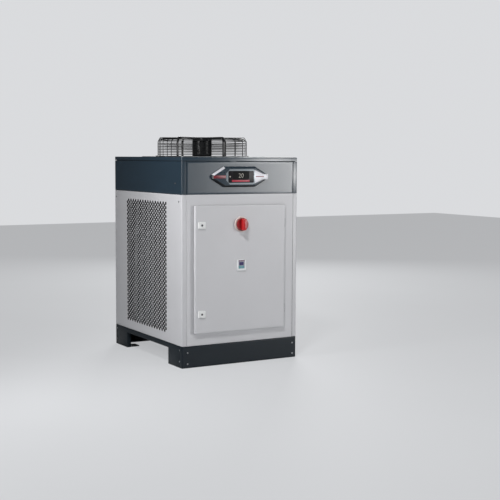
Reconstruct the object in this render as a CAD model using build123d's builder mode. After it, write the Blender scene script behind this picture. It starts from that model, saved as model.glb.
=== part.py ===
from build123d import *
import os
from math import cos, radians, sin

# Packaged water chiller, free standing. Millimetres, +Z up, the door faces -Y.
# The origin is the centre of the cabinet's footprint, on the floor.

# Cabinet, outside sizes
body_width = 765
body_depth = 950
plinth_height = 126
panel_height = 862
band_height = 188
roof_height = 24
shadow_gap = 3

# Sheet metal
sheet = 2.5
front_fold = 20
side_fold = 26
seam_gap = 1

# Plinth and the opening for the forks of a pallet truck
plinth_wall = 25
fork_width = 590
fork_height = 96
pan_depth = 22
foot_length = 70
foot_width = 60
foot_thickness = 6
foot_inset = 6
foot_hole_radius = 6.5

# Perforated field in each side panel
grille_columns = 6
grille_rows = 13
grille_width = 566
grille_height = 764
grille_bottom = 53
grille_shift = 6
hole_width = 76
hole_height = 90

# Electrical compartment behind the door
opening_margin = 18
case_depth = 200
case_sheet = 4
plate_gap = 18
plate_margin = 20
plate_thickness = 3
spacer_size = 16

# Door
door_width = 596
door_height = 730
door_bottom = 70
door_shift = -11
door_thickness = 20
door_skin = 2
door_gap = 2
seal_width = 10
seal_thickness = 1.5
door_edge = 2

# Hinges on the right edge of the door
hinge_inset = 110
hinge_offset = 5
hinge_depth = 6
knuckle_radius = 5
knuckle_length = 26
knuckle_gap = 0.5
pin_radius = 2.5
running_gap = 0.05

# Square locks near the left edge of the door
lock_inset = 40
lock_drop = 111
lock_width = 46
lock_height = 40
lock_proud = 9
lock_corner = 5
barrel_size = 20
barrel_length = 18
nut_size = 28
nut_length = 5
insert_radius = 6
insert_recess = 3
insert_drive = 6
drive_depth = 4
insert_tail = 4

# Main switch in the upper middle of the door
switch_drop = 111
ring_radius = 44.5
ring_thickness = 8
spindle_radius = 6
spindle_length = 14
knob_radius = 37
knob_disc = 16
knob_gap = 1
grip_width = 20
grip_length = 68
grip_height = 24
grip_corner = 6
block_size = 66
block_depth = 55

# Small panel instrument in the middle of the door
meter_drop = 348
meter_width = 60
meter_height = 63
meter_proud = 8
meter_border = 7
meter_recess = 3
meter_case = 48
meter_depth = 40
meter_corner = 3

# Control panel on the front band
display_shift = -18
display_level = 1088
bezel_half_width = 187
bezel_shoulder = 106
bezel_half_height = 59
bezel_tip = 14
bezel_proud = 20
bezel_taper = 33
bezel_rebate = 4
face_left = -91
face_right = 109
face_half_height = 44
face_cut = 24
wing_reach = 48
wing_tip = 15
face_thickness = 4
screen_left = -78
screen_right = 92
screen_half_height = 34
screen_corner = 8
screen_thickness = 3

# Condenser coils behind the perforated fields
coil_setback = 57
coil_thickness = 44
coil_front = -8
coil_length = 292
coil_height = 664
coil_plate = 3
coil_lip = 8

# Machinery seen through the perforations
tank_width = 250
tank_length = 250
tank_height = 520
tank_place = (40, 300)
tank_chamfer = 12
shell_radius = 92
shell_height = 330
shell_crown = 34
shell_sides = 24
shell_place = (-60, -120)
shell_feet = 30

# Fan in the roof
fan_shift = 10
nozzle_radius = 245
nozzle_wall = 2.5
nozzle_depth = 80
fan_plate = 560
plate_sheet = 3
tip_gap = 7
hub_radius = 70
hub_height = 62
blade_count = 7
hub_sides = 28
blade_thickness = 4
blade_root_chord = 98
blade_tip_chord = 118
blade_angle = 31
rotor_drop = 2
motor_radius = 58
motor_gap = 6
shaft_radius = 12

# Wire guard over the fan, and the straps that carry the motor
guard_radius = 270
guard_height = 120
guard_shoulder = 34
guard_crown = 256
guard_sides = 20
guard_wire = 5
side_rings = 5
top_rings = 4
guard_ribs = 8
strap_count = 6
strap_width = 14
strap_thickness = 4
strap_foot = 12
hub_plate = 62

# Rear connections
port_inset = 145
port_levels = (150, 290)
pipe_radius = 16.6
pipe_bore = 12
pipe_reach = 42
pipe_inside = 60
collar_flange = 28
collar_thickness = 6
gland_inset = 105
gland_level = 120
gland_radius = 15
gland_bore = 6
gland_reach = 26
gland_thread = 10
hexagon = 6

# Derived places
half_width = body_width / 2
half_depth = body_depth / 2
band_level = plinth_height + panel_height
roof_level = band_level + band_height
body_height = roof_level + roof_height
inner_width = body_width - 2 * side_fold - 2 * seam_gap
door_level = plinth_height + door_bottom
door_left = door_shift - door_width / 2
door_right = door_shift + door_width / 2
door_top = door_level + door_height
opening_width = door_width - 2 * opening_margin
opening_height = door_height - 2 * opening_margin
opening_centre = door_level + door_height / 2
port_x = inner_width / 2 - port_inset
gland_x = gland_inset - inner_width / 2


def facing(side, level=0.0, proud=0.0):
    """Plane on one outer face of the cabinet, looking outwards, with local Y up."""
    directions = {
        "front": ((0, -half_depth - proud, level), (1, 0, 0), (0, -1, 0)),
        "rear": ((0, half_depth + proud, level), (-1, 0, 0), (0, 1, 0)),
        "left": ((-half_width - proud, 0, level), (0, -1, 0), (-1, 0, 0)),
        "right": ((half_width + proud, 0, level), (0, 1, 0), (1, 0, 0)),
    }
    origin, across, outward = directions[side]
    return Plane(origin=origin, x_dir=across, z_dir=outward)


def folded_panel(side, level, width, height, fold):
    """Flat sheet with its four edges folded inwards, standing on the given level."""
    face = facing(side, level + height / 2)
    with BuildSketch(face) as outline:
        Rectangle(width, height)
    extrude(outline.sketch, amount=-fold)
    with BuildSketch(face.offset(-sheet)) as hollow:
        Rectangle(width - 2 * sheet, height - 2 * sheet)
    extrude(hollow.sketch, amount=sheet - fold, mode=Mode.SUBTRACT)


def save(piece, name):
    """Label a finished piece and write it under its own name."""
    piece.part.label = name
    export_step(piece.part, f"parts/{name}.step")


os.makedirs("parts", exist_ok=True)

# Plinth: two full-width ends and two sides arched over the fork opening
with BuildPart() as plinth_front:
    folded_panel("front", 0, body_width, plinth_height, plinth_wall)
save(plinth_front, "plinth_front")

with BuildPart() as plinth_rear:
    folded_panel("rear", 0, body_width, plinth_height, plinth_wall)
save(plinth_rear, "plinth_rear")

for side in ("left", "right"):
    with BuildPart() as plinth_side:
        with BuildSketch(facing(side)):
            Rectangle(body_depth - 2 * plinth_wall, plinth_height, align=(Align.CENTER, Align.MIN))
            Rectangle(fork_width, fork_height, align=(Align.CENTER, Align.MIN), mode=Mode.SUBTRACT)
        extrude(amount=-plinth_wall)
    save(plinth_side, f"plinth_side_{side}")

# Drilled plates that bolt the plinth to the floor, beside the fork opening
foot_x = half_width - plinth_wall - foot_width / 2
foot_y = fork_width / 2 + foot_inset + foot_length / 2
with BuildPart() as foot_plates:
    with BuildSketch():
        with GridLocations(2 * foot_x, 2 * foot_y, 2, 2):
            Rectangle(foot_width, foot_length)
            Circle(foot_hole_radius, mode=Mode.SUBTRACT)
    extrude(amount=foot_thickness)
save(foot_plates, "foot_plates")

# Drip tray that closes the cabinet's underside between the plinth walls
pan_width = body_width - 2 * plinth_wall
pan_length = body_depth - 2 * plinth_wall
with BuildPart() as base_pan:
    with BuildSketch(Plane.XY.offset(plinth_height - pan_depth)):
        Rectangle(pan_width, pan_length)
    extrude(amount=pan_depth)
    with BuildSketch(Plane.XY.offset(plinth_height - pan_depth + sheet)):
        Rectangle(pan_width - 2 * sheet, pan_length - 2 * sheet)
    extrude(amount=pan_depth - sheet, mode=Mode.SUBTRACT)
save(base_pan, "base_pan")

# Front panel with the opening of the electrical compartment
with BuildPart() as front_panel:
    folded_panel("front", plinth_height, inner_width, panel_height, front_fold)
    opening_plane = facing("front", opening_centre)
    with BuildSketch(opening_plane):
        with Locations((door_shift, 0)):
            Rectangle(opening_width + 2 * sheet, opening_height + 2 * sheet)
    extrude(amount=-front_fold)
    with BuildSketch(opening_plane):
        with Locations((door_shift, 0)):
            Rectangle(opening_width, opening_height)
    extrude(amount=-front_fold, mode=Mode.SUBTRACT)
save(front_panel, "front_panel")

# Rear panel, drilled for the two water pipes and the cable gland
with BuildPart() as rear_panel:
    folded_panel("rear", plinth_height, inner_width, panel_height, front_fold)
    with BuildSketch(facing("rear", plinth_height)):
        for level in port_levels:
            with Locations((-port_x, level)):
                Circle(pipe_radius + seam_gap)
        with Locations((-gland_x, gland_level)):
            Circle(gland_thread + seam_gap)
    extrude(amount=-front_fold, mode=Mode.SUBTRACT)
save(rear_panel, "rear_panel")

# Side panels: the perforated field is staggered rows of diamond holes
grille_level = plinth_height + grille_bottom + grille_height / 2
column_pitch = grille_width / grille_columns
row_pitch = (grille_height - hole_height) / (grille_rows - 1)
for side, shift in (("left", -grille_shift), ("right", grille_shift)):
    with BuildPart() as side_panel:
        folded_panel(side, plinth_height, body_depth, panel_height, side_fold)
        with BuildSketch(facing(side, grille_level)):
            for row in range(grille_rows):
                stagger = row % 2
                row_height = (row - (grille_rows - 1) / 2) * row_pitch
                with Locations((shift, row_height)):
                    with GridLocations(column_pitch, 1, grille_columns - stagger, 1):
                        Polygon(
                            (-hole_width / 2, 0),
                            (0, -hole_height / 2),
                            (hole_width / 2, 0),
                            (0, hole_height / 2),
                            align=None,
                        )
        extrude(amount=-sheet, mode=Mode.SUBTRACT)
    save(side_panel, f"side_panel_{side}")

# Upper band of four panels under the roof
for side, width, fold in (
    ("front", inner_width, front_fold),
    ("rear", inner_width, front_fold),
    ("left", body_depth, side_fold),
    ("right", body_depth, side_fold),
):
    with BuildPart() as band_panel:
        folded_panel(side, band_level, width, band_height, fold)
    save(band_panel, f"band_{side}")

# Roof: a folded lid on a set-back spacer frame, open under the fan
roof_hole = nozzle_radius + nozzle_wall
with BuildPart() as roof:
    with BuildSketch(Plane.XY.offset(roof_level)):
        Rectangle(body_width - 2 * shadow_gap, body_depth - 2 * shadow_gap)
    extrude(amount=roof_height)
    with BuildSketch(Plane.XY.offset(roof_level + shadow_gap)):
        Rectangle(body_width, body_depth)
    extrude(amount=roof_height - shadow_gap)
    with BuildSketch(Plane.XY.offset(roof_level)):
        Rectangle(body_width - 2 * side_fold, body_depth - 2 * front_fold)
    extrude(amount=roof_height - sheet, mode=Mode.SUBTRACT)
    with BuildSketch(Plane.XY.offset(roof_level)):
        with Locations((0, fan_shift)):
            Circle(roof_hole)
    extrude(amount=roof_height, mode=Mode.SUBTRACT)
save(roof, "roof")

# Electrical compartment: a box behind the front panel with a bare mounting plate
case_front = -half_depth + front_fold
case_bottom = opening_centre - opening_height / 2
case_left = door_shift - opening_width / 2
case_right = door_shift + opening_width / 2
case_plane = Plane.XZ.offset(-case_front)
with BuildPart() as enclosure_sides:
    with BuildSketch(case_plane):
        for x in (case_left - case_sheet / 2, case_right + case_sheet / 2):
            with Locations((x, opening_centre)):
                Rectangle(case_sheet, opening_height)
    extrude(amount=-case_depth)
save(enclosure_sides, "enclosure_sides")

with BuildPart() as enclosure_top_floor:
    with BuildSketch(case_plane):
        for level in (case_bottom - case_sheet / 2, case_bottom + opening_height + case_sheet / 2):
            with Locations((door_shift, level)):
                Rectangle(opening_width + 2 * case_sheet, case_sheet)
    extrude(amount=-case_depth)
save(enclosure_top_floor, "enclosure_top_floor")

with BuildPart() as enclosure_back:
    with BuildSketch(case_plane.offset(-case_depth)):
        with Locations((door_shift, opening_centre)):
            Rectangle(opening_width + 2 * case_sheet, opening_height + 2 * case_sheet)
    extrude(amount=-case_sheet)
save(enclosure_back, "enclosure_back")

with BuildPart() as mounting_plate:
    with BuildSketch(case_plane.offset(plate_gap - case_depth)):
        with Locations((door_shift, opening_centre)):
            Rectangle(opening_width - 2 * plate_margin, opening_height - 2 * plate_margin)
    extrude(amount=plate_thickness)
    with BuildSketch(case_plane.offset(-case_depth)):
        with Locations((door_shift, opening_centre)):
            with GridLocations(opening_width - 4 * plate_margin, opening_height - 4 * plate_margin, 2, 2):
                Rectangle(spacer_size, spacer_size)
    extrude(amount=plate_gap)
save(mounting_plate, "mounting_plate")

# Rubber seal on the front panel, around the opening
with BuildPart() as door_seal:
    with BuildSketch(facing("front", opening_centre)):
        with Locations((door_shift, 0)):
            Rectangle(opening_width + 2 * seal_width, opening_height + 2 * seal_width)
            Rectangle(opening_width, opening_height, mode=Mode.SUBTRACT)
    extrude(amount=seal_thickness)
save(door_seal, "door_seal")

# Door: a skin with folded edges, pierced for the locks, the switch and the instrument
door_front = facing("front", opening_centre, door_gap + door_thickness)
lock_x = door_left + lock_inset
lock_levels = (door_top - lock_drop, door_level + lock_drop)
switch_level = door_top - switch_drop
meter_level = door_top - meter_drop
with BuildPart() as door:
    with BuildSketch(door_front):
        with Locations((door_shift, 0)):
            Rectangle(door_width, door_height)
    extrude(amount=-door_thickness)
    outer_face = door.faces().sort_by(Axis.Y)[0]
    chamfer(outer_face.edges(), length=door_edge)
    with BuildSketch(door_front.offset(-door_skin)):
        with Locations((door_shift, 0)):
            Rectangle(door_width - 2 * door_skin, door_height - 2 * door_skin)
    extrude(amount=door_skin - door_thickness, mode=Mode.SUBTRACT)
    with BuildSketch(facing("front", 0, door_gap + door_thickness)):
        for level in lock_levels:
            with Locations((lock_x, level)):
                Rectangle(barrel_size, barrel_size)
        with Locations((door_shift, switch_level)):
            Rectangle(2 * spindle_radius, 2 * spindle_radius)
        with Locations((door_shift, meter_level)):
            Rectangle(meter_case, meter_case)
    extrude(amount=-door_skin, mode=Mode.SUBTRACT)
save(door, "door")

# Hinges: knuckles on the panel carry the pins, knuckles on the door turn on them
hinge_x = door_right + hinge_offset
hinge_y = -half_depth - hinge_depth
hinge_levels = (door_level + hinge_inset, door_top - hinge_inset)
with BuildPart() as hinge_pins:
    for level in hinge_levels:
        with BuildSketch(Plane.XY.offset(level - knuckle_length)):
            with Locations((hinge_x, hinge_y)):
                Circle(knuckle_radius)
                Rectangle(2 * knuckle_radius, hinge_depth, align=(Align.CENTER, Align.MIN))
        extrude(amount=knuckle_length)
        with BuildSketch(Plane.XY.offset(level)):
            with Locations((hinge_x, hinge_y)):
                Circle(pin_radius)
        extrude(amount=knuckle_gap + knuckle_length)
save(hinge_pins, "hinge_pins")

with BuildPart() as hinge_knuckles:
    for level in hinge_levels:
        with BuildSketch(Plane.XY.offset(level + knuckle_gap)):
            with Locations((hinge_x, hinge_y)):
                Circle(knuckle_radius)
                with Locations((-hinge_offset / 2, -knuckle_radius / 2)):
                    Rectangle(hinge_offset, knuckle_radius)
                Circle(pin_radius + running_gap, mode=Mode.SUBTRACT)
        extrude(amount=knuckle_length)
save(hinge_knuckles, "hinge_knuckles")

# Locks: square roses and barrels on the door, and the inserts that a key turns
lock_back = facing("front", 0, door_gap + door_thickness)
lock_depth = lock_proud + barrel_length
rose_outline = [
    (-lock_width / 2, -lock_height / 2 + lock_corner),
    (-lock_width / 2 + lock_corner, -lock_height / 2),
    (lock_width / 2 - lock_corner, -lock_height / 2),
    (lock_width / 2, -lock_height / 2 + lock_corner),
    (lock_width / 2, lock_height / 2 - lock_corner),
    (lock_width / 2 - lock_corner, lock_height / 2),
    (-lock_width / 2 + lock_corner, lock_height / 2),
    (-lock_width / 2, lock_height / 2 - lock_corner),
]
with BuildPart() as locks:
    for level in lock_levels:
        with BuildSketch(lock_back):
            with Locations((lock_x, level)):
                Polygon(*rose_outline, align=None)
        extrude(amount=lock_proud)
        with BuildSketch(lock_back):
            with Locations((lock_x, level)):
                Rectangle(barrel_size, barrel_size)
        extrude(amount=-barrel_length)
        with BuildSketch(lock_back.offset(-door_skin)):
            with Locations((lock_x, level)):
                Rectangle(nut_size, nut_size)
        extrude(amount=-nut_length)
        with BuildSketch(lock_back.offset(lock_proud)):
            with Locations((lock_x, level)):
                Circle(insert_radius + running_gap)
        extrude(amount=-lock_depth, mode=Mode.SUBTRACT)
save(locks, "locks")

for name, level in zip(("upper", "lower"), lock_levels):
    insert_face = lock_back.offset(lock_proud - insert_recess)
    with BuildPart() as lock_insert:
        with BuildSketch(insert_face):
            with Locations((lock_x, level)):
                Circle(insert_radius)
        extrude(amount=insert_recess - lock_depth - insert_tail)
        with BuildSketch(insert_face):
            with Locations((lock_x, level)):
                Rectangle(insert_drive, insert_drive)
        extrude(amount=-drive_depth, mode=Mode.SUBTRACT)
    save(lock_insert, f"lock_insert_{name}")

# Main switch: a ring with a spindle, a knob with a grip, and the block behind the door
switch_plane = facing("front", switch_level, door_gap + door_thickness)
with BuildPart() as switch_ring:
    with BuildSketch(switch_plane):
        with Locations((door_shift, 0)):
            Circle(ring_radius)
    extrude(amount=ring_thickness)
    with BuildSketch(switch_plane.offset(-door_skin)):
        with Locations((door_shift, 0)):
            Circle(spindle_radius)
    extrude(amount=door_skin + ring_thickness + spindle_length)
save(switch_ring, "switch_ring")

knob_back = switch_plane.offset(ring_thickness + knob_gap)
grip_outline = [
    (-grip_width / 2, grip_corner - grip_length / 2),
    (grip_corner - grip_width / 2, -grip_length / 2),
    (grip_width / 2 - grip_corner, -grip_length / 2),
    (grip_width / 2, grip_corner - grip_length / 2),
    (grip_width / 2, grip_length / 2 - grip_corner),
    (grip_width / 2 - grip_corner, grip_length / 2),
    (grip_corner - grip_width / 2, grip_length / 2),
    (-grip_width / 2, grip_length / 2 - grip_corner),
]
with BuildPart() as switch_knob:
    with BuildSketch(knob_back):
        with Locations((door_shift, 0)):
            Circle(knob_radius)
    extrude(amount=knob_disc)
    with BuildSketch(knob_back.offset(knob_disc)):
        with Locations((door_shift, 0)):
            Polygon(*grip_outline, align=None)
    extrude(amount=grip_height)
    with BuildSketch(knob_back):
        with Locations((door_shift, 0)):
            Circle(spindle_radius + running_gap)
    extrude(amount=spindle_length, mode=Mode.SUBTRACT)
save(switch_knob, "switch_knob")

with BuildPart() as switch_block:
    with BuildSketch(switch_plane.offset(-door_skin)):
        with Locations((door_shift, 0)):
            Rectangle(block_size, block_size)
    extrude(amount=-block_depth)
save(switch_block, "switch_block")

# Panel instrument: a framed recess, and the case that passes through the door
meter_plane = facing("front", meter_level, door_gap + door_thickness)
with BuildPart() as meter_frame:
    with BuildSketch(meter_plane):
        with Locations((door_shift, 0)):
            Rectangle(meter_width, meter_height)
    extrude(amount=meter_proud)
    chamfer(meter_frame.edges().filter_by(Axis.Y), length=meter_corner)
    with BuildSketch(meter_plane):
        with Locations((door_shift, 0)):
            Rectangle(meter_case, meter_case)
    extrude(amount=-meter_depth)
    with BuildSketch(meter_plane.offset(meter_proud)):
        with Locations((door_shift, 0)):
            Rectangle(meter_width - 2 * meter_border, meter_height - 2 * meter_border)
    extrude(amount=-meter_recess, mode=Mode.SUBTRACT)
save(meter_frame, "meter_frame")

# Control panel: a bevelled long bezel, the silver face in its rebate, and the screen
display_plane = facing("front", display_level)
bezel_outline = [
    (-bezel_half_width, -bezel_tip),
    (-bezel_shoulder, -bezel_half_height),
    (bezel_shoulder, -bezel_half_height),
    (bezel_half_width, -bezel_tip),
    (bezel_half_width, bezel_tip),
    (bezel_shoulder, bezel_half_height),
    (-bezel_shoulder, bezel_half_height),
    (-bezel_half_width, bezel_tip),
]
face_outline = [
    (face_left, -face_half_height + face_cut),
    (face_left + face_cut, -face_half_height),
    (face_right - face_cut, -face_half_height),
    (face_right, -face_half_height + face_cut),
    (face_right + wing_reach, -wing_tip),
    (face_right + wing_reach, wing_tip),
    (face_right, face_half_height - face_cut),
    (face_right - face_cut, face_half_height),
    (face_left + face_cut, face_half_height),
    (face_left, face_half_height - face_cut),
]
face_seat = bezel_proud - bezel_rebate
with BuildPart() as display_bezel:
    with BuildSketch(display_plane):
        with Locations((display_shift, 0)):
            Polygon(*bezel_outline, align=None)
    extrude(amount=bezel_proud, taper=bezel_taper)
    with BuildSketch(display_plane.offset(face_seat)):
        with Locations((display_shift, 0)):
            Polygon(*face_outline, align=None)
    extrude(amount=bezel_rebate, mode=Mode.SUBTRACT)
save(display_bezel, "display_bezel")

screen_centre = display_shift + (screen_left + screen_right) / 2
screen_half_width = (screen_right - screen_left) / 2
screen_outline = [
    (-screen_half_width, screen_corner - screen_half_height),
    (screen_corner - screen_half_width, -screen_half_height),
    (screen_half_width - screen_corner, -screen_half_height),
    (screen_half_width, screen_corner - screen_half_height),
    (screen_half_width, screen_half_height - screen_corner),
    (screen_half_width - screen_corner, screen_half_height),
    (screen_corner - screen_half_width, screen_half_height),
    (-screen_half_width, screen_half_height - screen_corner),
]
screen_seat = display_plane.offset(face_seat + face_thickness - screen_thickness)
with BuildPart() as display_face:
    with BuildSketch(display_plane.offset(face_seat)):
        with Locations((display_shift, 0)):
            Polygon(*face_outline, align=None)
    extrude(amount=face_thickness)
    with BuildSketch(screen_seat):
        with Locations((screen_centre, 0)):
            Polygon(*screen_outline, align=None)
    extrude(amount=screen_thickness, mode=Mode.SUBTRACT)
save(display_face, "display_face")

with BuildPart() as display_screen:
    with BuildSketch(screen_seat):
        with Locations((screen_centre, 0)):
            Polygon(*screen_outline, align=None)
    extrude(amount=screen_thickness)
save(display_screen, "display_screen")

# Condenser coils, standing on the drip tray
coil_x = half_width - coil_setback
coil_base = plinth_height - pan_depth + sheet
for side, sign in (("left", -1), ("right", 1)):
    with BuildPart() as condenser:
        with BuildSketch(Plane.XY.offset(coil_base)):
            with Locations((sign * (coil_x - coil_thickness / 2), coil_front + coil_length / 2)):
                Rectangle(coil_thickness, coil_length)
                for end in (-1, 1):
                    with Locations((0, end * (coil_length - coil_plate) / 2)):
                        Rectangle(coil_thickness + 2 * coil_lip, coil_plate)
        extrude(amount=coil_height)
    save(condenser, f"condenser_{side}")

# Machinery on the drip tray: an insulated tank and a hermetic compressor
with BuildPart() as buffer_tank:
    with BuildSketch(Plane.XY.offset(coil_base)):
        with Locations(tank_place):
            Rectangle(tank_width, tank_length)
    extrude(amount=tank_height)
    chamfer(buffer_tank.edges().filter_by(Axis.Z), length=tank_chamfer)
    chamfer(buffer_tank.faces().sort_by(Axis.Z)[-1].edges(), length=tank_chamfer)
save(buffer_tank, "buffer_tank")

with BuildPart() as compressor:
    with BuildSketch(Plane.XY.offset(coil_base)):
        with Locations(shell_place):
            Rectangle(2 * shell_radius + shell_feet, 2 * shell_radius + shell_feet)
    extrude(amount=plate_thickness)
    with BuildSketch(Plane.XY.offset(coil_base)):
        with Locations(shell_place):
            RegularPolygon(shell_radius, shell_sides)
    extrude(amount=shell_height)
    chamfer(compressor.faces().sort_by(Axis.Z)[-1].edges(), length=shell_crown)
save(compressor, "compressor")

# Fan: nozzle on a square plate, rotor, and the motor that hangs from the bracket
with BuildPart() as fan_nozzle:
    with BuildSketch(Plane.XY.offset(body_height - nozzle_depth)):
        with Locations((0, fan_shift)):
            Circle(nozzle_radius + nozzle_wall)
    extrude(amount=nozzle_depth)
    with BuildSketch(Plane.XY.offset(body_height)):
        with Locations((0, fan_shift)):
            Rectangle(fan_plate, fan_plate)
    extrude(amount=plate_sheet)
    with BuildSketch(Plane.XY.offset(body_height - nozzle_depth)):
        with Locations((0, fan_shift)):
            Circle(nozzle_radius)
    extrude(amount=nozzle_depth + plate_sheet, mode=Mode.SUBTRACT)
save(fan_nozzle, "fan_nozzle")

rotor_top = body_height - rotor_drop
blade_level = rotor_top - hub_height / 2
blade_reach = nozzle_radius - tip_gap
shaft_length = motor_gap + hub_height / 2


def blade_section(radius, chord):
    """Thin rectangle standing across a radius, pitched about it."""
    plane = Plane(
        origin=(radius, fan_shift, blade_level),
        x_dir=(0, cos(radians(blade_angle)), sin(radians(blade_angle))),
        z_dir=(1, 0, 0),
    )
    with BuildSketch(plane) as section:
        Rectangle(chord, blade_thickness)
    return section.sketch


blade_root = blade_section(hub_radius - blade_thickness, blade_root_chord)
blade_tip = blade_section(blade_reach, blade_tip_chord)
with BuildPart() as fan_blade:
    loft([blade_root, blade_tip], ruled=True)

with BuildPart() as fan_rotor:
    with BuildSketch(Plane.XY.offset(rotor_top - hub_height)):
        with Locations((0, fan_shift)):
            RegularPolygon(hub_radius, hub_sides)
    extrude(amount=hub_height)
    for blade in range(blade_count):
        turn = Location((0, fan_shift, 0)) * Location((0, 0, 0), (0, 0, 360 * blade / blade_count))
        add(fan_blade.part.moved(turn * Location((0, -fan_shift, 0))))
    with BuildSketch(Plane.XY.offset(rotor_top)):
        with Locations((0, fan_shift)):
            Circle(shaft_radius + running_gap)
    extrude(amount=-hub_height / 2 - motor_gap, mode=Mode.SUBTRACT)
save(fan_rotor, "fan_rotor")

# Guard and bracket levels
guard_base = body_height + plate_sheet
guard_top = body_height + guard_height
strap_level = guard_top - strap_thickness
crown_level = strap_level - guard_wire
shoulder_level = guard_top - guard_shoulder
ring_pitch = (shoulder_level - guard_base) / (side_rings - 1)

motor_level = rotor_top + motor_gap
with BuildPart() as fan_motor:
    with BuildSketch(Plane.XY.offset(motor_level)):
        with Locations((0, fan_shift)):
            Circle(motor_radius)
    extrude(amount=strap_level - motor_level)
    with BuildSketch(Plane.XY.offset(motor_level)):
        with Locations((0, fan_shift)):
            Circle(shaft_radius)
    extrude(amount=-shaft_length)
save(fan_motor, "fan_motor")

# Bracket: six bent straps from their feet on the fan plate to the motor's hub plate
with BuildPart() as fan_bracket:
    for strap in range(strap_count):
        turn = 90 + 360 * strap / strap_count
        upright = Plane(origin=(0, fan_shift, 0), x_dir=(cos(radians(turn)), sin(radians(turn)), 0),
                        z_dir=(sin(radians(turn)), -cos(radians(turn)), 0))
        outer = guard_radius + strap_thickness
        with BuildSketch(upright.offset(-strap_width / 2)):
            Polygon(
                (outer + strap_foot, guard_base),
                (outer + strap_foot, guard_base + strap_thickness),
                (outer, guard_base + strap_thickness),
                (outer, shoulder_level + guard_wire + strap_thickness / 2),
                (guard_crown + strap_thickness, guard_top),
                (0, guard_top),
                (0, strap_level),
                (guard_crown + strap_thickness / 2, strap_level),
                (guard_radius, shoulder_level + guard_wire),
                (guard_radius, guard_base),
                align=None,
            )
        extrude(amount=strap_width)
    with BuildSketch(Plane.XY.offset(strap_level)):
        with Locations((0, fan_shift)):
            RegularPolygon(hub_plate, 2 * strap_count)
    extrude(amount=strap_thickness)
save(fan_bracket, "fan_bracket")


def wire_ring(radius, level):
    """Square wire bent to a ring of straight sides, with its outer corners on the radius."""
    with BuildSketch(Plane.XY.offset(level)) as ring:
        with Locations((0, fan_shift)):
            RegularPolygon(radius, guard_sides)
            RegularPolygon(radius - guard_wire, guard_sides, mode=Mode.SUBTRACT)
    extrude(ring.sketch, amount=guard_wire)


# Guard: polygonal wire rings round upright ribs, under a flat crown of rings and spokes
rib_outer = guard_radius - guard_wire / 2
crown_eye = motor_radius + 2 * guard_wire
with BuildPart() as guard_wall:
    for ring in range(side_rings):
        wire_ring(guard_radius, guard_base + ring * ring_pitch)
    for rib in range(guard_ribs):
        turn = 360 * rib / guard_ribs
        upright = Plane(origin=(0, fan_shift, 0), x_dir=(cos(radians(turn)), sin(radians(turn)), 0),
                        z_dir=(sin(radians(turn)), -cos(radians(turn)), 0))
        with BuildSketch(upright.offset(-guard_wire / 2)):
            Polygon(
                (rib_outer - guard_wire, guard_base),
                (rib_outer, guard_base),
                (rib_outer, shoulder_level),
                (guard_crown - guard_wire, crown_level),
                (guard_crown - 2 * guard_wire, crown_level),
                (rib_outer - guard_wire, shoulder_level),
                align=None,
            )
        extrude(amount=guard_wire)
save(guard_wall, "guard_wall")

with BuildPart() as guard_crown_grille:
    for ring in range(top_rings):
        wire_ring(crown_eye + (guard_crown - crown_eye) * ring / (top_rings - 1), crown_level)
    with BuildSketch(Plane.XY.offset(crown_level)):
        with Locations((0, fan_shift)):
            with PolarLocations((guard_crown + crown_eye) / 2 - guard_wire / 2, guard_ribs):
                Rectangle(guard_crown - crown_eye, guard_wire)
    extrude(amount=guard_wire)
save(guard_crown_grille, "guard_top")

# Rear connections: two threaded pipe stubs on hexagonal collars, and a cable gland
with BuildPart() as water_pipes:
    for level in port_levels:
        port_plane = facing("rear", plinth_height + level)
        with BuildSketch(port_plane):
            with Locations((-port_x, 0)):
                RegularPolygon(collar_flange, hexagon)
        extrude(amount=collar_thickness)
        with BuildSketch(port_plane.offset(-pipe_inside)):
            with Locations((-port_x, 0)):
                Circle(pipe_radius)
        extrude(amount=pipe_inside + pipe_reach)
        with BuildSketch(port_plane.offset(-pipe_inside)):
            with Locations((-port_x, 0)):
                Circle(pipe_bore)
        extrude(amount=pipe_inside + pipe_reach, mode=Mode.SUBTRACT)
save(water_pipes, "water_pipes")

gland_plane = facing("rear", plinth_height + gland_level)
with BuildPart() as cable_gland:
    with BuildSketch(gland_plane):
        with Locations((-gland_x, 0)):
            RegularPolygon(gland_radius, hexagon)
    extrude(amount=gland_reach)
    with BuildSketch(gland_plane):
        with Locations((-gland_x, 0)):
            Circle(gland_thread)
    extrude(amount=-front_fold)
    with BuildSketch(gland_plane.offset(gland_reach)):
        with Locations((-gland_x, 0)):
            Circle(gland_bore)
    extrude(amount=-gland_reach - front_fold, mode=Mode.SUBTRACT)
save(cable_gland, "cable_gland")
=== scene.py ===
from math import asin, cos, pi, radians, sin

import bmesh
import bpy
from mathutils import Matrix, Vector


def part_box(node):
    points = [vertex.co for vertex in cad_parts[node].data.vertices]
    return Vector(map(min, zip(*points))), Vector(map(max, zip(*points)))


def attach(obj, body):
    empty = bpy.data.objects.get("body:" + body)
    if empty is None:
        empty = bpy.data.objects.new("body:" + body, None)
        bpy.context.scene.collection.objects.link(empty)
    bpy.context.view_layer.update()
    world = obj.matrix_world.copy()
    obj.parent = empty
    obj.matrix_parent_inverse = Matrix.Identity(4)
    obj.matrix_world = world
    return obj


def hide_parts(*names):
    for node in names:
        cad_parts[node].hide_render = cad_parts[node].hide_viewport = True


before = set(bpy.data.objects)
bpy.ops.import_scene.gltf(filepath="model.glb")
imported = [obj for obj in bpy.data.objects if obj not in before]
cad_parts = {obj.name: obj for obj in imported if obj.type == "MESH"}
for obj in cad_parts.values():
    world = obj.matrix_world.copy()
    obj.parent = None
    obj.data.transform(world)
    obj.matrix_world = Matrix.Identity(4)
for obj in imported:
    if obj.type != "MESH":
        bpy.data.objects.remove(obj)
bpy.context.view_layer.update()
bpy.ops.object.select_all(action="DESELECT")

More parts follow.
